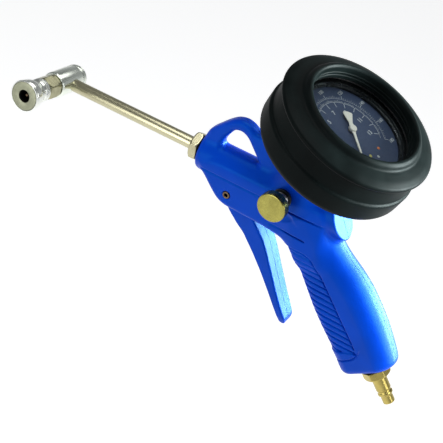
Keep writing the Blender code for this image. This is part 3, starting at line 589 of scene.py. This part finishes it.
def path_distance(t, n, points):
    """Distance to an open line of (t, n) points."""
    nearest = np.full(np.broadcast(t, n).shape, 1e9, np.float32)
    for (at, an), (bt, bn) in zip(points, points[1:]):
        et, en = bt - at, bn - an
        along = np.clip(((t - at) * et + (n - an) * en) / (et * et + en * en), 0, 1)
        nearest = np.minimum(nearest, (t - at - et * along) ** 2 + (n - an - en * along) ** 2)
    return np.sqrt(nearest)


def finger_panel(t, n, z, shape):
    """Push the grip's front in a little behind a grooved edge, rib it, and lift the foot's lip."""
    edge_t = [p[0] for p in PANEL_EDGE]
    edge = curve(edge_t, [p[1] for p in PANEL_EDGE], t, 1.5)
    end = PANEL_END + 0.30 * (n + 6.0)
    inside = np.clip((edge - n) / 0.6 + 0.5, 0, 1) * np.clip((end - t) / 0.6 + 0.5, 0, 1)
    inside = inside * np.clip((t - PANEL_TOP) / 0.8 + 0.5, 0, 1)
    away = np.abs((z - RIB_PHASE) / RIB_PITCH - np.round((z - RIB_PHASE) / RIB_PITCH)) * RIB_PITCH
    vee = np.clip(1.25 - away / 0.6, 0, 1)
    border = path_distance(t, n, [(a, b - 0.3) for a, b in eased(PANEL_EDGE, 4.0, 4)])
    rim = np.clip(1.2 - border / 0.6, 0, 1)
    lip = np.clip(1.2 - path_distance(t, n, eased(LIP, 3.0, 4)) / 0.6, 0, 1)
    lip = lip * np.clip((9.0 - n) / 4.0, 0, 1)
    relief = inside * (0.8 + 1.15 * vee * (1 - rim)) + 1.8 * rim + 1.2 * lip
    return shape + relief


def make_body():
    """Barrel, trigger housing, grip, gauge boss and hanging eye, melted together."""
    grid = Grid((-67, -14.4, -111), (101, 14.4, 35), BODY_STEP)
    x, y, z = grid.x, grid.y, grid.z
    rho = np.sqrt(y * y + (z + BARREL_DROP) ** 2)
    profile = eased(BARREL_PROFILE, 0.8) + [(60, -20.0), (-64.8, -20.0)]
    barrel = outline_distance(x, rho, profile)
    beyond = (x - REAR_X) * math.cos(REAR_TILT) + z * math.sin(REAR_TILT)
    barrel = carve(barrel, -beyond, 1.2)
    side = outline_distance(x, z, eased(SIDE_OUTLINE, 6.0, 4, True))
    housing = slab(side, y, BODY_HALF_WIDTH, 3.2)
    body = melt(barrel, housing, 2.0)
    t = x * GRIP_D.x + z * GRIP_D.z
    n = x * GRIP_N.x + z * GRIP_N.z
    grip = grip_distance(t, n, y)
    grip = finger_panel(t, n, z, grip)
    grip = carve(grip, FOOT_T + FOOT_LEAN * n - t, 4.6)
    grip = np.maximum(grip, 17.0 - t)
    body = melt(body, grip, 7.0)
    s = (x - GAUGE.translation.x) * GAUGE_N.x + (z - GAUGE.translation.z) * GAUGE_N.z
    a = (x - GAUGE.translation.x) * GAUGE_UP.x + (z - GAUGE.translation.z) * GAUGE_UP.z
    half, width = curve(BOSS_S, BOSS_HALF, s, 8), curve(BOSS_S, BOSS_WIDTH, s, 8)
    radius = width - 0.05
    boss = round_corner(np.abs(a) - half + radius, np.abs(y) - width + radius, radius)
    boss = trim(boss, s + 43.0, 2.0)
    boss = np.maximum(boss, -74.0 - s)
    body = melt(body, boss, 6.0)
    eye_side = carve(outline_distance(x, z, eased(EYE_OUTLINE, 5.0, 4, True)),
                     outline_distance(x, z, eased(EYE_HOLE, 5.0, 4, True)), 0.5)
    body = melt(body, slab(eye_side, y, 4.8, 3.2), 4.0)
    slot_side = outline_distance(x, z, eased(SLOT, 2.0, 3, True))
    body = carve(body, np.maximum(slot_side, np.abs(y) - 9.0), 1.0)
    pin = np.sqrt((x - PIVOT_AT.x) ** 2 + (z - PIVOT_AT.z) ** 2) - PIN_R - PIN_GAP
    body = carve(body, pin, 0.5)
    for groove in (np.maximum(np.abs(z + 5.55) - 0.62, np.abs(x + 12) - 48),
                   np.maximum(np.abs(z + 20.6) - 0.45, np.abs(x - 8) - 13)):
        body = carve(body, np.maximum(groove, 11.4 - np.abs(y)), 0.4)
    tube_rho = np.sqrt(y * y + z * z)
    body = carve(body, np.maximum(tube_rho - 6.0, np.abs(x + 70) - 24.5), 0.8)
    body = drill(body, np.maximum(tube_rho - 2.6, np.abs(x + 20) - 29))
    valve = np.sqrt(y * y + (z - VALVE_Z) ** 2)
    body = drill(body, np.maximum(valve - 5.5, np.abs(x - 5.5) - 19.5))
    knob_rho = np.sqrt(x * x + (z - BLEED_Z) ** 2)
    body = carve(body, np.maximum(knob_rho - 4.7, y + 4.0), 0.5)
    body = drill(body, np.maximum(knob_rho - 3.8, np.abs(y) - 4.3))
    bore = np.sqrt(y * y + (n - GRIP_BORE_N) ** 2)
    body = drill(body, np.maximum(bore - 4.0, np.abs(t - 82) - 56))
    body = carve(body, np.maximum(bore - 8.5, 117.5 - t), 0.8)
    gauge_rho = np.sqrt(y * y + a * a)
    body = carve(body, np.maximum(gauge_rho - 6.8, -58.0 - s), 0.8)
    body = drill(body, np.maximum(gauge_rho - 1.9, np.abs(s + 75) - 17))
    points, faces = skin(grid, body)
    add("body_shell", points, faces, BLUE, "handle", replaces=("body",))


make_body()


# ---- the trigger -------------------------------------------------------------------------------
TRIGGER_OUTLINE = [(-39.2, -23.2), (-35.8, -28.4), (-28.2, -36), (-23.2, -39.8), (-13.4, -51.6),
                   (-4.9, -63), (4, -76.4), (11.8, -89.2), (15.4, -95.4), (19.0, -95.6),
                   (19.4, -91.5), (11.4, -77.2), (4.2, -62.6), (-3.6, -46.5), (-7.8, -39),
                   (-12.6, -33.2), (-17.0, -27.6), (-21.6, -18.4), (-23.4, -13.4), (-27, -10.6),
                   (-37.5, -9.6), (-43, -12.2), (-44.4, -17), (-42.6, -20.5)]

TRIGGER_Z = [-97, -94, -90, -84, -75, -60, -40, -24]
TRIGGER_HALF = [4.2, 5.4, 6.4, 6.9, 7.2, 7.4, 7.7, 8.3]


def make_trigger():
    """The long lever, a little narrower towards its tip, and its tubular pin."""
    grid = Grid((-46, -9.4, -98), (22, 9.4, -8), TRIGGER_STEP)
    x, y, z = grid.x, grid.y, grid.z
    side = outline_distance(x, z, eased(TRIGGER_OUTLINE, 3.0, 4, True))
    width = curve(TRIGGER_Z, TRIGGER_HALF, z, 2.0)
    lever = slab(side, y, width, 1.2)
    pin = np.sqrt((x - PIVOT_AT.x) ** 2 + (z - PIVOT_AT.z) ** 2) - PIN_R - PIN_GAP
    lever = drill(lever, pin)
    points, faces = skin(grid, lever)
    add("trigger_lever", points, faces, BLUE, "trigger", replaces=("trigger",))
    profile = eased([(-12.4, 1.35), (-12.4, PIN_R), (12.4, PIN_R), (12.4, 1.35)], 0.35, 3, True)
    turned("slotted_pin", profile, PIN_STEEL, "handle", PIVOT,
           ("trigger_pin",), 40, True, sharp=40)


make_trigger()


# ---- hexagons ----------------------------------------------------------------------------------
def hexagon_piece(name, span, flats, chamfer, bores, look, body, local, replaces=(),
                  step=0.2, ease=0.5):
    """A hexagon bar cut by a turned chamfer profile, less its round bores."""
    reach = flats * 0.62
    grid = Grid((-reach, -reach, span[0] - 0.8), (reach, reach, span[1] + 0.8), step)
    x, y, z = grid.x, grid.y, grid.z
    rho = np.sqrt(x * x + y * y)
    sides = np.maximum(np.abs(x), np.abs(x) * 0.5 + np.abs(y) * HEX_SLOPE) - flats / 2
    bar = np.maximum(sides, np.maximum(span[0] - z, z - span[1]))
    round_part = outline_distance(z, rho, chamfer + [(chamfer[-1][0], -30), (chamfer[0][0], -30)])
    bar = trim(bar, round_part, ease)
    for low, high, radius in bores:
        bar = drill(bar, np.maximum(rho - radius, np.maximum(low - z, z - high)))
    points, faces = skin(grid, bar)
    return add(name, points, faces, look, body, local, replaces)


hexagon_piece("union_nut", (-71.6, -65.9), NUT_FLATS,
              [(-72.0, 8.0), (-70.2, 9.9), (-67.3, 9.9), (-65.2, 8.3)],
              [(-75, -70.2, TUBE_R + 0.3), (-70.2, -60, 6.0)],
              NUT_METAL, "handle", TUBE, ("tube_nut",))
hexagon_piece("chuck_hexagon", (14.2, 25.4), CHUCK_FLATS,
              [(14.0, 7.9), (16.4, 7.9), (17.6, 8.4), (24.0, 8.4), (25.8, 7.3)],
              [(10, 30, 1.7)], HEX_METAL, "chuck", HEAD)
hexagon_piece("hose_plug_hexagon", (127.6, 133.0), PLUG_FLATS,
              [(127.2, 8.3), (128.2, 9.3), (131.8, 9.3), (133.4, 8.1)],
              [(120, 140, 4.8)], PLUG_METAL, "handle", INLET)

# ---- turned metal ------------------------------------------------------------------------------
turned("hose_plug_nipple",
       eased([(120, 2.6), (120, 5.4), (120.8, 6.2), (127.4, 6.2), (133.0, 6.2), (133.6, 5.0),
              (142.6, 5.0), (143.2, 4.4), (144.2, 4.4), (144.8, 5.0), (146.2, 5.0), (147, 4.0),
              (152.4, 4.0), (153.0, 3.4), (153.0, 2.6)], 0.5, 3, True),
       PLUG_METAL, "handle", INLET, ("inlet_plug",), 72, True)
turned("foot_washer", eased([(125.8, 6.6), (125.8, 8.6), (127.4, 8.6), (127.4, 6.6)], 0.2, 2, True),
       SEAL, "handle", INLET, ("inlet_seal",), 64, True)
turned("foot_insert", eased([(118, 6.5), (118, 8.2), (125.5, 8.2), (125.5, 6.5)], 0.3, 2, True),
       PLUG_METAL, "handle", INLET, ("inlet_insert",), 64, True)
turned("air_tube",
       eased([(HEAD_X + 6.0, 3.0), (HEAD_X + 6.0, TUBE_R), (-59.3, TUBE_R), (-59.3, 3.0)],
             0.3, 3, True),
       TUBE_METAL, "handle", TUBE, ("delivery_tube",), 64, True)
turned("nose_washer",
       eased([(-65.6, 6.1), (-65.6, 8.9), (-65.1, 8.9), (-65.1, 6.1)], 0.15, 2, True),
       SEAL, "handle", TUBE, ("nut_washer",), 64, True)
turned("head_barrel",
       eased([(-12.2, 4.6), (-12.2, 7.9), (-11.5, 8.6), (-9.4, 8.6), (-9.2, 8.35), (-8.8, 8.35),
              (-8.6, 8.6), (12.7, 8.6), (13.6, 7.9), (13.6, 4.6)], 0.25, 2, True),
       HEAD_METAL, "handle", HEAD, ("swivel_head",), 96, True)
turned("head_cap",
       eased([(-14.4, 0), (-14.4, 6.0), (-13.8, 7.4), (-13.1, 7.9), (-12.5, 7.9), (-12.5, 4.2),
              (-11.0, 4.2), (-11.0, 0)], 0.4),
       HEAD_METAL, "chuck", HEAD, ("swivel_cap",), 96)
turned("chuck_spindle",
       eased([(-10.6, 0), (-10.6, 4.3), (-8.6, 4.3), (-8.6, 3.3), (-6.6, 3.3), (-6.6, 4.3),
              (-4.6, 4.3), (-4.6, 3.2), (4.6, 3.2), (4.6, 4.3), (6.6, 4.3), (6.6, 3.3),
              (8.6, 3.3), (8.6, 4.3), (14.0, 4.3), (14.5, 5.0), (34.6, 5.0), (34.6, 0)], 0.2, 2),
       STEEL, "chuck", HEAD, ("chuck_stem",), 48)


def knurl(height, angle):
    """Fine crossed knurl round the grip ring of the chuck's nose."""
    band = np.clip((height - 26.6) / 0.3, 0, 1) * np.clip((30.3 - height) / 0.3, 0, 1)
    crossed = np.abs(np.sin(18 * angle + 2.2 * height)) + np.abs(np.sin(18 * angle - 2.2 * height))
    return band * (crossed - 1.1) * 0.22


NOSE_PROFILE = [(25.8, 5.3), (25.8, 7.0), (26.2, 7.45)]
NOSE_PROFILE += [(26.4 + 0.15 * k, 7.6) for k in range(27)]
NOSE_PROFILE += eased([(30.5, 7.5), (31.0, 7.0), (32.6, 7.2), (37.6, 9.5), (41.9, 10.0),
                       (42.4, 9.6), (42.8, 10.2), (43.9, 10.3), (44.3, 9.9), (44.3, 9.6),
                       (43.9, 9.5), (43.6, 9.4), (43.6, 6.3), (36.3, 6.3), (36.3, 5.3)], 0.3, 3)
turned("chuck_bell", NOSE_PROFILE, NOSE_METAL, "chuck", HEAD, ("chuck_nose",),
       216, True, knurl, 50)
turned("chuck_face_ring",
       eased([(43.65, 4.15), (43.65, 9.35), (44.4, 9.35), (44.4, 4.15)], 0.25, 3, True),
       FACE_METAL, "chuck", HEAD, (), 96, True)
frame["nodes"]["core_depressor"].data.materials[0] = PIN_STEEL
turned("chuck_grommet",
       eased([(36.6, 3.8), (36.6, 6.0), (43.3, 6.0), (43.3, 4.1), (43.0, 3.8)], 0.3, 3, True),
       SEAL, "chuck", HEAD, ("chuck_seal",), 64, True)
turned("bleed_knob",
       eased([(26.0, 0), (26.0, 6.3), (22.0, 6.3), (22.0, 9.0), (22.4, 9.5), (27.5, 9.5),
              (28.0, 9.0), (28.0, 0)], 0.35, 4),
       KNOB_METAL, "bleed", BLEED, ("bleed_button",), 128, sharp=45)
# The flange behind the knob takes the black enamel in place of its own brass: painted shade, for
# the dark space between knob and body.
turned("bleed_flange",
       eased([(4.0, 1.9), (4.0, 4.4), (12.8, 4.4), (12.8, 6.4), (14.6, 6.4), (14.6, 3.3),
              (16.6, 3.3), (16.6, 1.9)], 0.3, 3, True),
       BLACK, "handle", BLEED, ("bleed_bushing",), 72, True)


# ---- springs -----------------------------------------------------------------------------------
def coil_spring(node, low, high, radius, wire, turns, local):
    """A round-wire spring with flat end coils."""
    steps, sides = int(turns * 24), 10
    points, faces = [], []
    for k in range(steps + 1):
        turn = turns * k / steps
        climb = min(max((turn - 0.75) / (turns - 1.5), 0), 1)
        height = low + wire + (high - low - 2 * wire) * climb
        angle = math.tau * turn
        for side in range(sides):
            tilt = math.tau * side / sides
            reach = radius + wire * math.cos(tilt)
            points.append((reach * math.cos(angle), reach * math.sin(angle),
                           height + wire * math.sin(tilt)))
    for k in range(steps):
        for side in range(sides):
            after = (side + 1) % sides
            faces.append((k * sides + side, k * sides + after,
                          (k + 1) * sides + after, (k + 1) * sides + side))
    faces.append(tuple(reversed(range(sides))))
    faces.append(tuple(steps * sides + side for side in range(sides)))
    spring = add(node + "_coil", points, faces, SLOT_LOOKS["spring_steel"], "handle",
                 local, (node,), 50)
    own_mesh(spring)


coil_spring("bleed_spring", 14.9, 25.7, 4.6, 0.4, 5.5, BLEED)
coil_spring("valve_spring", 8.9, 23.4, 3.1, 0.45, 6.5,
            local_frame((0, 0, VALVE_Z), (1, 0, 0), (0, 1, 0)))

# ---- the gauge ---------------------------------------------------------------------------------
BOOT_PROFILE = [(-29.0, 25.0), (-31.8, 25.2), (-32.6, 27.0), (-32.6, 44.0), (-31.4, 47.6),
                (-28.4, 49.3), (-17.2, 49.8), (-16.2, 49.4), (-15.3, 48.2), (-4.2, 48.0),
                (-3.2, 48.4), (-2.6, 49.7), (-1.6, 50.4), (-0.6, 50.4), (0.5, 49.7),
                (2.2, 46.4), (3.6, 42.0), (4.2, 39.7), (6.6, 38.6), (7.8, 37.0), (7.9, 35.8),
                (6.6, 34.5), (3.1, 34.35), (2.8, 34.0), (2.4, 34.0), (2.1, 34.3), (0.9, 34.25),
                (0.6, 33.9), (0.2, 33.9), (-0.1, 34.2), (-2.3, 34.1), (-2.3, 41.0), (-29.0, 41.0)]
CASE_R = 39.3
DIAL_TOP = -9.2
turned("gauge_cover", eased(BOOT_PROFILE, 1.4, 4, True), RUBBER, "handle",
       GAUGE, ("gauge_boot",), 144, True)
turned("gauge_rim",
       eased([(-12.0, CASE_R + 0.4), (-12.0, CASE_R + 1.3), (-2.8, CASE_R + 1.3),
              (-2.6, CASE_R + 1.1), (-2.6, 34.9), (-2.8, 34.6), (-3.1, 34.6),
              (-3.1, CASE_R + 0.4)], 0.1, 2, True),
       BLACK, "handle", GAUGE, ("gauge_bezel",), 128, True)
turned("window_disc", eased([(-5.2, 0), (-5.2, 39.1), (-3.4, 39.1), (-3.4, 0)], 0.2, 2),
       WINDOW, "handle", GAUGE, ("gauge_lens",), 96)
turned("dial_surround",
       eased([(-8.9, 32.6), (-8.9, 38.0), (-5.5, 38.0), (-5.5, 33.9), (-7.0, 33.7),
              (-7.2, 32.9)], 0.2, 2, True),
       BLACK, "handle", GAUGE, ("dial_ring",), 128, True)
turned("dial_plate", eased([(-10.0, 1.6), (-10.0, 38.0), (DIAL_TOP, 38.0), (DIAL_TOP, 1.6)],
                           0.1, 2, True),
       DIAL, "handle", GAUGE, ("gauge_dial",), 96, True)


def dial_point(radius, degrees):
    """A point of the dial at a clockwise angle from 12 o'clock."""
    angle = math.radians(degrees)
    return radius * math.cos(angle), -radius * math.sin(angle)


class Print:
    """Gathers flat printed marks, a hair thicker than ink, into one mesh."""

    def __init__(self):
        self.points = []
        self.faces = []

    def slab(self, loop):
        """One mark from its outline of dial points."""
        base, count = len(self.points), len(loop)
        self.points += [(x, y, DIAL_TOP + 0.005) for x, y in loop]
        self.points += [(x, y, DIAL_TOP + 0.05) for x, y in loop]
        self.faces.append(tuple(base + k for k in range(count)))
        self.faces.append(tuple(base + count + k for k in reversed(range(count))))
        for k in range(count):
            j = (k + 1) % count
            self.faces.append((base + k, base + j, base + count + j, base + count + k))

    def tick(self, inner, outer, degrees, width):
        """A radial stroke."""
        angle = math.radians(degrees)
        out = Vector((math.cos(angle), -math.sin(angle)))
        side = Vector((-out.y, out.x)) * width / 2
        self.slab([tuple(out * r + side * s) for r, s in
                   ((inner, -1), (outer, -1), (outer, 1), (inner, 1))])

    def arc(self, radius, width, start, end, steps=120):
        """A band along a circle."""
        for k in range(steps):
            first, last = (start + (end - start) * (k + j) / steps for j in (0, 1))
            self.slab([dial_point(radius + s * width / 2, a) for s, a in
                       ((-1, first), (1, first), (1, last), (-1, last))])

    def dot(self, radius, degrees, size):
        """A round dot."""
        x, y = dial_point(radius, degrees)
        self.slab([(x + size * math.cos(math.tau * k / 20), y + size * math.sin(math.tau * k / 20))
                   for k in range(20)])

    def number(self, text, radius, degrees, height):
        """A number in the plain built-in typeface, upright on the dial."""
        font = bpy.data.curves.new("number", "FONT")
        font.body = text
        font.align_x = "CENTER"
        font.align_y = "CENTER"
        font.size = height * 1.4
        font.resolution_u = 3
        font.offset = 0.02 * height
        holder = bpy.data.objects.new("number", font)
        bpy.context.scene.collection.objects.link(holder)
        bpy.context.view_layer.update()
        mesh = bpy.data.meshes.new_from_object(
            holder.evaluated_get(bpy.context.evaluated_depsgraph_get()))
        at = dial_point(radius, degrees)
        base = len(self.points)
        self.points += [(at[0] + v.co.y, at[1] - v.co.x, DIAL_TOP + 0.05) for v in mesh.vertices]
        self.faces += [tuple(base + k for k in face.vertices) for face in mesh.polygons]
        bpy.data.objects.remove(holder)
        bpy.data.meshes.remove(mesh)

    def finish(self, name, look):
        """Make the piece."""
        return add(name, self.points, self.faces, look, "handle", GAUGE)


def make_scales():
    """Two plain scales round the dial and three coloured dots."""
    marks = Print()
    start = -134.0
    marks.arc(21.3, 0.16, start, -start)
    marks.arc(24.2, 0.09, start, -start)
    for k in range(14):
        marks.tick(17.6, 21.4, start + 20 * k, 0.32)
        if k % 2:
            marks.number(str(k), 14.3, start + 20 * k, 2.9)
    for k in range(131):
        if k % 10:
            marks.tick(21.3, 22.6 if k % 5 else 23.4, start + 2 * k, 0.15)
    for k in range(10):
        at = start - 2 * start * k / 9
        marks.tick(24.2, 27.0, at, 0.30)
        marks.number(str(20 * k), 29.4, at, 2.3)
    for k in range(91):
        if k % 10:
            marks.tick(24.2, 25.6 if k % 5 else 26.3, start - 2 * start * k / 90, 0.14)
    marks.finish("dial_scales", PRINT)
    for name, look, radius, at, size in (("dial_dot_left", YELLOW, 19.1, -166.0, 1.0),
                                         ("dial_dot_right", ORANGE, 19.4, 161.0, 1.0),
                                         ("dial_dot_middle", PRINT, 21.9, 179.5, 0.9)):
        dots = Print()
        dots.dot(radius, at, size)
        dots.finish(name, look)


make_scales()
NEEDLE_REST = 139.0
NEEDLE_OUTLINE = [(27.5, 0.25), (4.0, 0.9), (2.2, 1.3), (-2.6, 1.6), (-4.2, 1.2), (-7.0, 2.0),
                  (-11.2, 3.3), (-12.2, 2.9), (-12.8, 0)]
NEEDLE_OUTLINE += [(x, -y) for x, y in reversed(NEEDLE_OUTLINE[:-1])]
prism("needle_blade", NEEDLE_OUTLINE, -7.3, -6.8, CREAM, "needle",
      GAUGE @ Matrix.Rotation(math.radians(NEEDLE_REST), 4, "Z"), ("pointer",))
turned("needle_hub", eased([(-7.8, 1.15), (-7.8, 2.5), (-6.2, 2.5), (-5.9, 2.2), (-5.9, 0),
                            (-6.15, 0), (-6.15, 1.15)], 0.15, 3), CREAM, "needle",
       GAUGE, (), 48)

# ---- camera, light and floor --------------------------------------------------------------------
CAMERA_AT = Vector((215.3, -571.5, 414.2))
CAMERA_RIGHT = Vector((0.840, 0.515, 0.170))
CAMERA_BACK = Vector((0.331, -0.735, 0.592)).normalized()
LENS_MM, SENSOR_MM = 97.5, 36
FLOOR_DROP = 0.38                       # metres below the object
FLOOR_HALF = 6
back = CAMERA_BACK
right = (CAMERA_RIGHT - back * CAMERA_RIGHT.dot(back)).normalized()
up = back.cross(right)
lens = bpy.data.cameras.new("camera")
lens.sensor_width = SENSOR_MM
lens.lens = LENS_MM
camera = bpy.data.objects.new("camera", lens)
camera.matrix_world = Matrix.Translation((CAMERA_AT + BARREL) * MM) @ Matrix(
    (right, up, back)).transposed().to_4x4()
bpy.context.scene.collection.objects.link(camera)
bpy.context.scene.camera = camera


def soft_light(name, towards, distance, size, power, colour=(1, 1, 1)):
    """A square panel light that faces the object from a direction."""
    data = bpy.data.lights.new(name, "AREA")
    data.size = size
    data.energy = power
    data.color = colour
    light = bpy.data.objects.new(name, data)
    direction = Vector(towards).normalized()
    light.location = direction * distance
    light.rotation_euler = direction.to_track_quat("Z", "Y").to_euler()
    light.visible_camera = False
    bpy.context.scene.collection.objects.link(light)
    return light


def only_on(light, looks):
    """Let a light reach only the pieces of the object with these looks."""
    lit = bpy.data.collections.new(light.name + "_reach")
    for obj in bpy.context.scene.objects:
        if obj.type == "MESH" and obj.data.materials and obj.data.materials[0] in looks:
            lit.objects.link(obj)
    light.light_linking.receiver_collection = lit


soft_light("overhead", (-0.10, -0.05, 0.99), 1.2, 0.8, 8)
soft_light("front_fill", (-0.35, -0.90, 0.25), 1.0, 0.6, 4)
soft_light("side_fill", (0.93, -0.10, 0.35), 1.0, 0.5, 4.5)
only_on(soft_light("rear_window", (0.85, 0.42, 0.22), 0.9, 0.55, 75, (0.85, 1, 1)), (RUBBER,))
only_on(soft_light("rear_wash", (0.84, 0.36, 0.32), 0.9, 0.9, 30, (0.85, 1, 1)), (BLUE,))
only_on(soft_light("far_window", (0.60, 0.78, 0.12), 0.9, 0.7, 34, (0.60, 1, 0.95)), (BLUE,))
only_on(soft_light("back_strip", (-0.07, 0.735, 0.674), 1.2, 0.45, 1.1),
        (HEAD_METAL, HEX_METAL, NOSE_METAL, TUBE_METAL, NUT_METAL, RUBBER))

world = bpy.data.worlds.new("world")
world.use_nodes = True
sky_nodes, sky_links = world.node_tree.nodes, world.node_tree.links
sky_split = sky_nodes.new("ShaderNodeSeparateXYZ")
sky_fade = sky_nodes.new("ShaderNodeMapRange")
sky_fade.inputs["From Min"].default_value = 0.0
sky_fade.inputs["From Max"].default_value = 0.5
sky_fade.inputs["To Min"].default_value = 0.50
sky_fade.inputs["To Max"].default_value = 0.22
sky_links.new(sky_nodes.new("ShaderNodeTexCoord").outputs["Generated"], sky_split.inputs[0])
sky_links.new(sky_split.outputs["Z"], sky_fade.inputs["Value"])
sky_links.new(sky_fade.outputs["Result"], sky_nodes["Background"].inputs["Strength"])
sky_nodes["Background"].inputs["Color"].default_value = (0.94, 0.97, 1.0, 1)
bpy.context.scene.world = world

floor_material = bpy.data.materials.new("studio_floor")
floor_material.use_nodes = True
floor_nodes = floor_material.node_tree.nodes
floor_shader = floor_nodes["Principled BSDF"]
floor_shader.inputs["Roughness"].default_value = 0.9
paper = floor_nodes.new("ShaderNodeTexNoise")
paper.inputs["Scale"].default_value = 3.0
paper_tone = floor_nodes.new("ShaderNodeMapRange")
paper_tone.inputs["To Min"].default_value = 0.73
paper_tone.inputs["To Max"].default_value = 0.77
floor_links = floor_material.node_tree.links
floor_shader.inputs["Emission Color"].default_value = (1, 1, 1, 1)
floor_shader.inputs["Emission Strength"].default_value = 0.64
floor_links.new(paper.outputs["Fac"], paper_tone.inputs["Value"])
floor_links.new(paper_tone.outputs["Result"], floor_shader.inputs["Base Color"])
floor_mesh = bpy.data.meshes.new("floor")
floor_low = CAD_BOX[0][2] - FLOOR_DROP
floor_mesh.from_pydata([(x * FLOOR_HALF, y * FLOOR_HALF, floor_low)
                        for x, y in ((-1, -1), (1, -1), (1, 1), (-1, 1))], [], [(0, 1, 2, 3)])
floor_mesh.materials.append(floor_material)
floor = bpy.data.objects.new("floor", floor_mesh)
bpy.context.scene.collection.objects.link(floor)
bpy.context.scene.view_settings.view_transform = "Standard"
